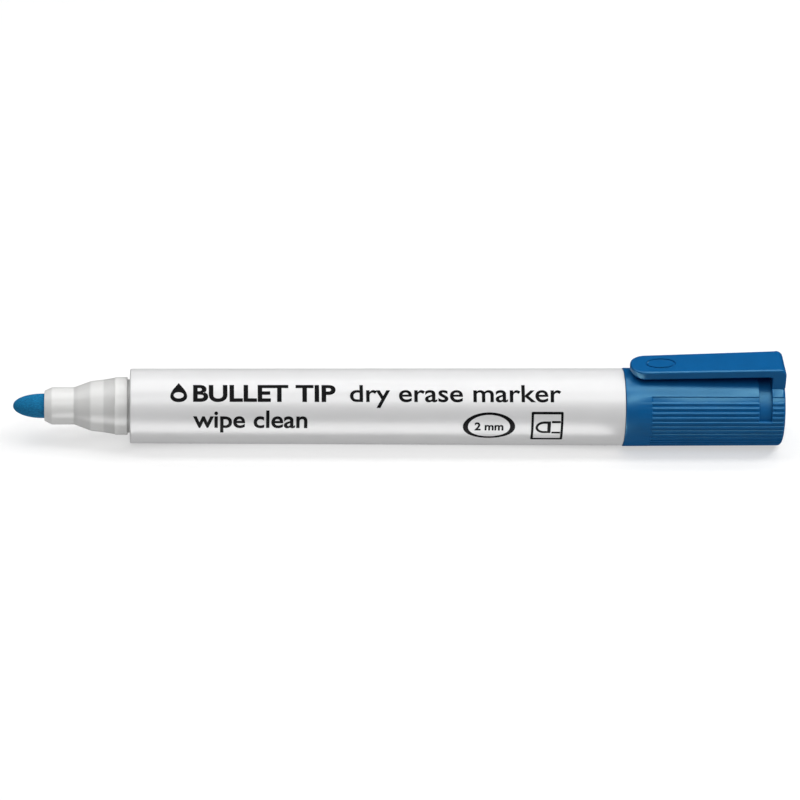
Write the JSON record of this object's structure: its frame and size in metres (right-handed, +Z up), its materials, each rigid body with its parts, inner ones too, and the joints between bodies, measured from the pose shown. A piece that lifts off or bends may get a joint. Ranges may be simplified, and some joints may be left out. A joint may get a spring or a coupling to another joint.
{
  "type": "whiteboard marker",
  "caption": "Bullet-tip whiteboard marker with a slim tubular barrel, a stepped nose, and a ribbed cap with a pocket clip posted on the rear end.",
  "frame": {"origin": "on the surface the pen lies on, under the middle of its length", "axes": "+X along the pen's axis, from the nib towards the cap; +Z up, through the clip"},
  "size_m": [0.1518, 0.0156, 0.0188],
  "materials": {
    "barrel_white": "satin",
    "section_natural": "satin",
    "nib_felt": "matte",
    "reservoir_fibre": "matte",
    "reservoir_film": "gloss",
    "cap_blue": "satin",
    "liner_blue": "satin"
  },
  "bodies": {
    "pen": {"barrel": "barrel_white", "front_section": "section_natural", "nib": "nib_felt", "ink_reservoir": "reservoir_fibre", "reservoir_film": "reservoir_film", "end_plug": "cap_blue"},
    "cap_liner": {"inner_cap": "liner_blue"},
    "cap": {"cap_shell": "cap_blue"},
    "clip_arm": {"clip": "cap_blue"}
  },
  "joints": [
    {"name": "cap_pull", "type": "slide", "parent": "pen", "child": "cap_liner", "axis": [1, 0, 0], "range_m": [0, 0.02]},
    {"name": "cap_turn", "type": "hinge", "parent": "cap_liner", "child": "cap", "pos_m": [0.06, 0, 0.00776], "axis": [1, 0, 0], "continuous": true},
    {"name": "clip_flex", "type": "hinge", "parent": "cap", "child": "clip_arm", "pos_m": [0.07583, 0, 0.01536], "axis": [0, 1, 0], "range_deg": [-0.5, 7], "stiffness_Nm_per_rad": 0.35}
  ]
}
